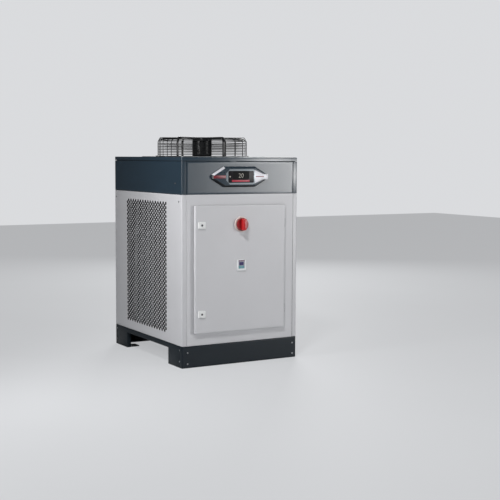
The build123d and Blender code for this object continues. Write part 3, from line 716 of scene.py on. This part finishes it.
disc = turned([(0, 0), (0.035, 0), (0.037, 0.002), (0.037, 0.012), (0.0355, 0.0148), (0.032, 0.016),
               (0.024, 0.0152), (0, 0.0152)], 64)
# The disc is darker than the grip: painted shade, the knob being one red
coat(disc, red_painted_shade)
grip = block((0.024, 0.070, 0.028), (0, 0, 0.026))
pick("faces", lambda f: f.normal.z > 0.9)
bpy.ops.transform.resize(value=(0.72, 0.94, 1))
pick("edges", lambda e: abs(e.verts[0].co.z - e.verts[1].co.z) > 0.01)
bpy.ops.mesh.bevel(offset=0.007, segments=4, affect="EDGES")
pick("edges", lambda e: all(v.co.z > 0.039 for v in e.verts))
bpy.ops.mesh.bevel(offset=0.003, segments=3, affect="EDGES")
rest()
coat(grip, red_plastic)
knob = joined([disc, grip])
stand(knob, "front", DOOR_X, SWITCH_LEVEL, DOOR_PROUD + 0.009)
hand_over(knob, "switch_handle", "knob", nodes=["switch_knob"])

body = slab(0.066, 0.066, 0.052, 0.003, 0.002)
coat(body, black_plastic)
terminals = []
for x in (-0.021, 0, 0.021):
    for y in (-0.026, 0.026):
        well = turned([(0, 0), (0.0062, 0), (0.0062, 0.003), (0.0050, 0.003), (0.0050, 0.0012),
                       (0, 0.0012)], 20)
        terminals.append(coat(moved(well, (x, y, 0.052)), zinc))
rail = block((0.060, 0.020, 0.003), (0, 0, 0.0535))
bpy.ops.mesh.bevel(offset=0.001, segments=2, affect="EDGES")
rest()
contacts = joined([body, *terminals, coat(rail, black_plastic)])
contacts.rotation_euler = (0, pi, 0)
stand(settle(contacts), "front", DOOR_X, SWITCH_LEVEL, DOOR_PROUD - 0.002)
hand_over(contacts, "switch_contacts", "door", nodes=["switch_block"])

# Locks: a pale rose, its barrel through the door and a nut behind
LOCK_X, LOCK_LEVELS = -0.269, (0.815, 0.307)
roses = []
for level in LOCK_LEVELS:
    rose = slab(0.046, 0.040, 0.009, 0.006, 0.0025, [(0, 0, 0.0125, 0, 24)])
    barrel = turned([(0.0062, 0), (0.0095, 0), (0.0095, -0.018), (0.0062, -0.018), (0.0062, 0)], 24)
    nut = turned([(0.0095, -0.002), (0.0155, -0.002), (0.0155, -0.007), (0.0095, -0.007),
                  (0.0095, -0.002)], 6)
    roses.append(stand(joined([rose, barrel, nut]), "front", LOCK_X, level, DOOR_PROUD))
hand_over(joined(roses), "lock_roses", "door", lock_plastic, ["locks"])

# Panel instrument: frame, window with its three fields, and the case behind the door
parts = [coat(slab(0.060, 0.063, 0.008, 0.004, 0.002, [(0, 0.0045, 0.042, 0.049)]), meter_plastic)]
for width, height, thickness, level, material in (
    (0.044, 0.051, 0.0040, 0.0045, meter_glass),
    (0.041, 0.0058, 0.0046, 0.0250, meter_plum),
    (0.030, 0.0200, 0.0046, 0.0085, meter_dark),
    (0.038, 0.0170, 0.0046, -0.0115, meter_teal),
):
    parts.append(coat(moved(slab(width, height, thickness, 0.001), (0, level, 0)), material))
parts.append(coat(moved(slab(0.048, 0.048, 0.040, 0.002), (0, 0, -0.040)), black_plastic))
meter = stand(joined(parts), "front", DOOR_X, 0.578, DOOR_PROUD)
hand_over(meter, "instrument", "door", nodes=["meter_frame"])

# Control panel: bevelled bezel, silver face, screen and accents
DISPLAY_X, DISPLAY_LEVEL = -0.018, 1.088


def strip_outline(spans):
    """A flat strip along X whose half height changes at each of the given places."""
    left, right = spans[0][0], spans[-1][0]
    bpy.ops.mesh.primitive_plane_add(size=1, location=((left + right) / 2, 0, 0))
    piece = settle(bpy.context.object)
    edit(piece)
    bpy.ops.transform.resize(value=(right - left, 2, 1), center_override=((left + right) / 2, 0, 0))
    for x, _ in spans[1:-1]:
        bpy.ops.mesh.select_all(action="SELECT")
        bpy.ops.mesh.bisect(plane_co=(x, 0, 0), plane_no=(1, 0, 0))
    for x, reach in spans:
        pick("verts", lambda v: abs(v.co.x - x) < 1e-4)
        bpy.ops.transform.resize(value=(1, reach, 1), center_override=(x, 0, 0))
    rest()
    return piece


bezel = strip_outline([(-0.179, 0.014), (-0.100, 0.059), (0.106, 0.059), (0.187, 0.014)])
edit(bezel)
bpy.ops.mesh.select_all(action="SELECT")
bpy.ops.mesh.extrude_region_move(TRANSFORM_OT_translate={"value": (0, 0, 0.004)})
bpy.ops.mesh.inset(thickness=0.0100, depth=0.0154)
rest()
outward(bezel)
edit(bezel)
pick("edges", lambda e: all(v.co.z > 0.015 for v in e.verts) and 0.1 < e.calc_face_angle(0) < 1.4)
bpy.ops.mesh.bevel(offset=0.0008, segments=2, affect="EDGES")
rest()


def bezel_facet(face):
    """Which finish a facet has: a painted highlight on the upper left, painted shade in black at the left
    tip and underneath.
    """
    across, up, out = face.normal
    if out < 0.25 or out > 0.95:
        return 0
    if up < -0.3 or (across < -0.5 and abs(up) < 0.1):
        return 2
    return int(across < -0.2 and up > 0.3)


recoat(bezel, [bezel_plastic, pale_trim_and_highlight, bezel_painted_shade], bezel_facet)

SPREAD = [(-0.091, 0.020), (-0.067, 0.044), (0.085, 0.044), (0.098, 0.0384), (0.150, 0.0160),
          (0.187, 0.0150)]
silver = strip_outline(SPREAD)
applied(silver, "SOLIDIFY", thickness=0.0024, offset=1)
outward(silver)
applied(silver, "BEVEL", width=0.0005, segments=2, limit_method="ANGLE")
moved(silver, (0, 0, 0.0175))
recoat(silver, [silver_plastic, pale_trim_and_highlight], lambda f: int(f.center.x > 0.0978))
wing_tip = slab(0.036, 0.030, 0.014, 0.0015, 0.0005)
coat(moved(wing_tip, (0.169, 0, 0.0040)), pale_trim_and_highlight)


def laid(width, height, thickness, corner, place, material, edge=0.0):
    """A thin inlay at its place on the control panel."""
    return coat(moved(slab(width, height, thickness, corner, edge), place), material)


glass = laid(0.170, 0.068, 0.0006, 0.006, (0.007, 0, 0.0198), screen_glass, 0.0003)
active = laid(0.106, 0.046, 0.0004, 0.002, (0.0055, 0.0100, 0.0202), screen_black)
line = laid(0.118, 0.0100, 0.0006, 0.0045, (0.0037, -0.0235, 0.0202), line_light, 0.0003)
dot = turned([(0, 0), (0.0042, 0), (0.0042, 0.0003), (0, 0.0006)], 16)
coat(moved(dot, (-0.0665, 0.0010, 0.0203)), digit_light)
bpy.ops.object.text_add(location=(0.0055, 0.0060, 0.0205))
digits = bpy.context.object
digits.data.body = "20"
digits.data.size = 0.036
digits.data.offset = -0.0007
digits.data.align_x = "CENTER"
digits.data.align_y = "CENTER"
digits.data.extrude = 0.0002
bpy.ops.object.convert(target="MESH")
digits = coat(settle(bpy.context.object), digit_light)
left_bar = laid(0.080, 0.0170, 0.0010, 0.0030, (-0.1330, 0, 0.0190), accent_red, 0.0004)
right_bar = laid(0.056, 0.0050, 0.0006, 0.0018, (0.132, 0.001, 0.0197), accent_red, 0.0002)

for name, parts, slot, nodes in (
    ("panel_bezel", [bezel, left_bar], "bezel", ["display_bezel"]),
    ("panel_face", [silver, wing_tip, right_bar], "silver_face", ["display_face"]),
    ("panel_screen", [glass, active, line, dot, digits], "screen", ["display_screen"]),
):
    whole = joined(parts)
    stand(whole, "front", DISPLAY_X, DISPLAY_LEVEL)
    hand_over(whole, name, "cabinet", nodes=nodes)

# Wire guard over the fan
GUARD_BASE, GUARD_RADIUS, WIRE = 1.203, 0.270, 0.0019


def wire_ring(radius, level):
    """One level ring of the guard."""
    bpy.ops.mesh.primitive_circle_add(vertices=6, radius=WIRE, location=(radius, 0, 0),
                                      rotation=(pi / 2, 0, 0))
    ring = settle(bpy.context.object)
    edit(ring)
    bpy.ops.mesh.select_all(action="SELECT")
    bpy.ops.mesh.spin(steps=72, angle=2 * pi, center=(0, 0, 0), axis=(0, 0, 1))
    rest()
    return moved(outward(ring), (0, FAN_Y, level))


wall_rings = [wire_ring(GUARD_RADIUS - WIRE, GUARD_BASE + WIRE + 0.0098 * step) for step in range(9)]
shoulder = [(0.2672, 1.2965), (0.2635, 1.3045), (0.2575, 1.3105)]
wall_rings += [wire_ring(radius, level) for radius, level in shoulder]
RIB_RADIUS = GUARD_RADIUS - 3 * WIRE
spokes = []
for turn in range(18):
    angle = radians(90 + 20 * turn)
    profile = [(RIB_RADIUS, GUARD_BASE + 0.0002), (RIB_RADIUS, 1.290), (0.2615, 1.3010), (0.2515, 1.3085),
               (0.240, 1.3105), (0.072, 1.3105)]
    spokes.append(rod([(r * cos(angle), r * sin(angle) + FAN_Y, z) for r, z in profile], WIRE))
hand_over(joined(wall_rings), "guard_basket", "cabinet", black_wire, ["guard_wall"])
crown_rings = [wire_ring(0.068 + 0.0125 * step, 1.3140) for step in range(15)]
hand_over(joined(crown_rings + spokes), "guard_crown", "cabinet", black_wire, ["guard_top"])

# Fan: square plate with its nozzle, wheel, motor and the bent straps that carry the motor
plate = moved(slab(0.560, 0.560, 0.003, 0.008, 0.0008, [(0, 0, 0.490, 0, 96)]), (0, FAN_Y, ROOF_LEVEL))
mouth = turned([(0.245, 0.003), (0.250, 0.003), (0.2475, 0), (0.2475, -0.078), (0.2485, -0.080),
                (0.245, -0.080), (0.245, 0.003)], 96)
nozzle = joined([plate, moved(mouth, (0, FAN_Y, ROOF_LEVEL))])
hand_over(nozzle, "nozzle_plate", "cabinet", zinc, ["fan_nozzle"])

ROOT, REACH, CHORD, ARC_RADIUS = 0.066, 0.234, 0.098, 0.140
hub = turned([(0, 0.031), (0.060, 0.031), (0.067, 0.028), (0.070, 0.022), (0.070, -0.031), (0.066, -0.031),
              (0.066, 0.020), (0, 0.020)], 56)
blade = point_at((ROOT, -CHORD / 2, 0))
arc_depth = (ARC_RADIUS ** 2 - CHORD ** 2 / 4) ** 0.5
bpy.ops.mesh.spin(steps=8, angle=2 * asin(CHORD / 2 / ARC_RADIUS), center=(ROOT, 0, -arc_depth),
                  axis=(1, 0, 0))
bpy.ops.mesh.select_all(action="SELECT")
bpy.ops.transform.rotate(value=radians(-34), orient_axis="X", center_override=(ROOT, 0, 0))
STAGES = 6
for stage in range(1, STAGES + 1):
    bpy.ops.mesh.extrude_edges_move(TRANSFORM_OT_translate={"value": ((REACH - ROOT) / STAGES, 0, 0)})
    place = (ROOT + (REACH - ROOT) * stage / STAGES, 0, 0)
    bpy.ops.transform.rotate(value=radians(1.3), orient_axis="X", center_override=place)
    bpy.ops.transform.resize(value=(1, 1.03, 1.03), center_override=place)
rest()
applied(blade, "SOLIDIFY", thickness=0.004, offset=0)
applied(blade, "BEVEL", width=0.0012, segments=2, limit_method="ANGLE", angle_limit=radians(50))
wheel = moved(joined([hub, around(blade, 7)]), (0, FAN_Y, 1.167))
hand_over(wheel, "fan_wheel", "rotor", fan_plastic, ["fan_rotor"])

MOTOR_LEVEL = 1.204
can = turned([(0, -0.037), (0.012, -0.037), (0.012, 0), (0.050, 0), (0.056, 0.003), (0.058, 0.008),
              (0.058, 0.020), (0.0550, 0.022), (0.0550, 0.090), (0.058, 0.092), (0.058, 0.104),
              (0.054, 0.110), (0.046, 0.112), (0, 0.112)], 64)
fin = block((0.0044, 0.0022, 0.070), (0.0556, 0, 0.056))
rest()
motor = moved(joined([can, around(fin, 40)]), (0, FAN_Y, MOTOR_LEVEL))
hand_over(motor, "motor_can", "cabinet", black_wire, ["fan_motor"])

strap = blank(0.014, 0.014)
bpy.ops.transform.translate(value=(0.279, 0, 1.205))
pick("edges", lambda e: all(v.co.x < 0.273 for v in e.verts))
for step in ((0, 0, 0.0885), (-0.014, 0, 0.0245), (-0.200, 0, 0)):
    bpy.ops.mesh.extrude_edges_move(TRANSFORM_OT_translate={"value": step})
pick("edges", lambda e: len(e.link_faces) == 2)
bpy.ops.mesh.bevel(offset=0.005, segments=4, affect="EDGES")
bpy.ops.mesh.select_all(action="SELECT")
bpy.ops.mesh.normals_make_consistent(inside=False)
bpy.ops.transform.rotate(value=pi / 2, orient_axis="Z", center_override=(0, 0, 0))
rest()
applied(strap, "SOLIDIFY", thickness=0.004, offset=0)
applied(strap, "BEVEL", width=0.0005, segments=2, limit_method="ANGLE")
cap = turned([(0, 0), (0.060, 0), (0.062, 0.001), (0.062, 0.003), (0.060, 0.004), (0.018, 0.004),
              (0.016, 0.0032), (0, 0.0032)])
bracket = moved(joined([around(strap, 6), moved(cap, (0, 0, 1.316))]), (0, FAN_Y, 0))
hand_over(bracket, "motor_bracket", "cabinet", black_wire, ["fan_bracket"])

# Condenser coils: fins between end plates, threaded by two staggered rows of tubes with return bends.
# Each has its air guide, a plate behind the side panel that is open for the coil, dark with painted shade.
COIL_X, COIL_LOW, COIL_HIGH = 0.3035, 0.1105, 0.7665
TUBE, TUBE_PITCH, TUBE_FRONT, TUBE_REAR = 0.0048, 0.0254, 0.0050, 0.2710
for side, sign in (("left", -1), ("right", 1)):
    leaf = block((0.042, 0.0006, COIL_HIGH - COIL_LOW), (sign * COIL_X, 0.0100, (COIL_LOW + COIL_HIGH) / 2))
    bpy.ops.mesh.subdivide(number_cuts=1)
    rest()
    coat(row(leaf, 65, (0, 0.0040, 0)), fin_metal)
    parts = [leaf]
    for y in (0.0070, 0.2690):
        plate = block((0.059, 0.0022, 0.662), (sign * COIL_X, y, (COIL_LOW + COIL_HIGH) / 2))
        bpy.ops.mesh.bevel(offset=0.0006, segments=1)
        rest()
        parts.append(coat(plate, zinc))
    for depth, start in ((0.2925, 0.1259), (0.3145, 0.1386)):
        tube = rod([(sign * depth, TUBE_FRONT, start), (sign * depth, TUBE_REAR, start)], TUBE, 8)
        parts.append(coat(row(tube, 24, (0, 0, TUBE_PITCH)), copper))
        for y, turn, first in ((TUBE_FRONT, -pi, 0), (TUBE_REAR, pi, TUBE_PITCH)):
            bpy.ops.mesh.primitive_circle_add(vertices=8, radius=TUBE,
                                              location=(sign * depth, y, start + first),
                                              rotation=(pi / 2, 0, 0))
            bend = settle(bpy.context.object)
            edit(bend)
            bpy.ops.mesh.select_all(action="SELECT")
            bpy.ops.mesh.spin(steps=6, angle=turn, center=(sign * depth, y, start + first + TUBE_PITCH / 2),
                              axis=(1, 0, 0))
            rest()
            parts.append(coat(row(outward(bend), 12 if first == 0 else 11, (0, 0, 2 * TUBE_PITCH)), copper))
    hand_over(joined(parts), f"fin_block_{side}", "cabinet", nodes=[f"condenser_{side}"])
    guide = slab(0.840, 0.810, 0.0015, 0, openings=[(sign * 0.138, -0.087, 0.276, 0.596)])
    stand(guide, side, 0, 0.555, -0.049)
    hand_over(guide, f"air_guide_{side}", "cabinet", painted_shade_coat)

# Compressor, a domed welded shell on its foot plate, and the strapped, insulated buffer tank
low, high = (Vector(corner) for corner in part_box("compressor"))
centre = (low + high) / 2
shell = turned([(0, 0.330), (0.040, 0.328), (0.066, 0.318), (0.083, 0.300), (0.092, 0.272),
                (0.092, 0.176), (0.0935, 0.175), (0.0935, 0.168), (0.092, 0.167), (0.092, 0.030),
                (0.086, 0.010), (0.074, 0.003), (0, 0.003)], 56)
foot = slab(0.214, 0.214, 0.003, 0.020, 0.0006)
grommets = []
for x in (-0.090, 0.090):
    for y in (-0.090, 0.090):
        grommet = turned([(0, 0), (0.012, 0), (0.012, 0.010), (0.009, 0.012), (0.004, 0.012),
                          (0.004, 0.016), (0, 0.016)], 20)
        grommets.append(moved(grommet, (x, y, 0.003)))
whole = moved(joined([shell, foot, *grommets]), (centre.x, centre.y, low.z))
hand_over(whole, "compressor_shell", "cabinet", shell_paint, ["compressor"])

low, high = (Vector(corner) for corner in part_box("buffer_tank"))
jacket = block(high - low - Vector((0.003, 0.003, 0)), (low + high) / 2)
pick("edges", lambda e: max(v.co.z for v in e.verts) > low.z + 0.01)
bpy.ops.mesh.bevel(offset=0.012, segments=4, affect="EDGES")
rest()
coat(jacket, insulation)
straps = []
for level in (low.z + 0.13, high.z - 0.13):
    strap = block((0.250, 0.250, 0.019), ((low.x + high.x) / 2, (low.y + high.y) / 2, level))
    pick("edges", lambda e: abs(e.verts[0].co.z - e.verts[1].co.z) > 0.01)
    bpy.ops.mesh.bevel(offset=0.012, segments=4, affect="EDGES")
    rest()
    straps.append(coat(strap, zinc))
hand_over(joined([jacket, *straps]), "tank_jacket", "cabinet", nodes=["buffer_tank"])

# Rear connections: threaded stubs on hexagonal collars, and a cable gland
stubs = []
for level in PORT_LEVELS:
    thread = [(0.0166 - 0.0012 * (turn % 2), 0.009 + 0.001155 * turn) for turn in range(27)]
    stub = turned([(0.012, -0.060), (0.0166, -0.060), *thread, (0.0156, 0.042), (0.012, 0.042),
                   (0.012, -0.060)])
    collar = turned([(0.0150, 0), (0.028, 0), (0.028, 0.0045), (0.0258, 0.006), (0.0150, 0.006),
                     (0.0150, 0)], 6)
    stubs.append(stand(joined([stub, collar]), "rear", PORT_X, level))
hand_over(joined(stubs), "pipe_stubs", "cabinet", brass, ["water_pipes"])

flats = turned([(0.006, 0), (0.015, 0), (0.015, 0.008), (0.0135, 0.0095), (0.006, 0.0095), (0.006, 0)], 6)
dome = turned([(0.006, -0.020), (0.010, -0.020), (0.010, 0.0095), (0.0120, 0.0095), (0.0120, 0.018),
               (0.0112, 0.022), (0.0090, 0.0252), (0.0072, 0.026), (0.006, 0.026), (0.006, -0.020)], 32)
rib = block((0.0016, 0.0016, 0.009), (0.0122, 0, 0.0145))
rest()
gland = stand(joined([flats, dome, around(rib, 16)]), "rear", GLAND_X, GLAND_LEVEL)
hand_over(gland, "gland_nut", "cabinet", black_plastic, ["cable_gland"])

# Screws
bpy.ops.mesh.primitive_cylinder_add(vertices=16, radius=0.0048, depth=0.0024, location=(0, 0, 0.0010))
screw = bpy.context.object
edit(screw)
pick("faces", lambda f: f.normal.z > 0.9)
bpy.ops.mesh.inset(thickness=0.0010, depth=0.0004)
bpy.ops.mesh.inset(thickness=0.0014, depth=0)
bpy.ops.mesh.inset(thickness=0.0002, depth=-0.0012)
rest()
settle(screw)
spots = [("front", x, z) for x in (-0.3475, 0.3565) for z in (0.0885, 0.0244)]
spots += [("rear", x, z) for x in (-0.352, 0.352) for z in (0.0885, 0.0244)]
for side, way in (("left", -1), ("right", 1)):
    spots += [(side, way * y, z) for y, z in ((0.4507, 0.9485), (-0.4377, 0.9485), (-0.3934, 1.0515),
                                              (-0.4465, 0.1027), (-0.4465, 0.0377), (0.4465, 0.1027),
                                              (0.4465, 0.0377))]
spots += [("rear", x, z) for x in (-0.335, 0.335) for z in (0.160, 0.557, 0.954, 1.010, 1.150)]
screws = []
for side, x, level in spots:
    screws.append(stand(twin(screw), side, x, level))
bpy.data.objects.remove(screw)
hand_over(joined(screws), "panel_screws", "cabinet", hinge_metal)
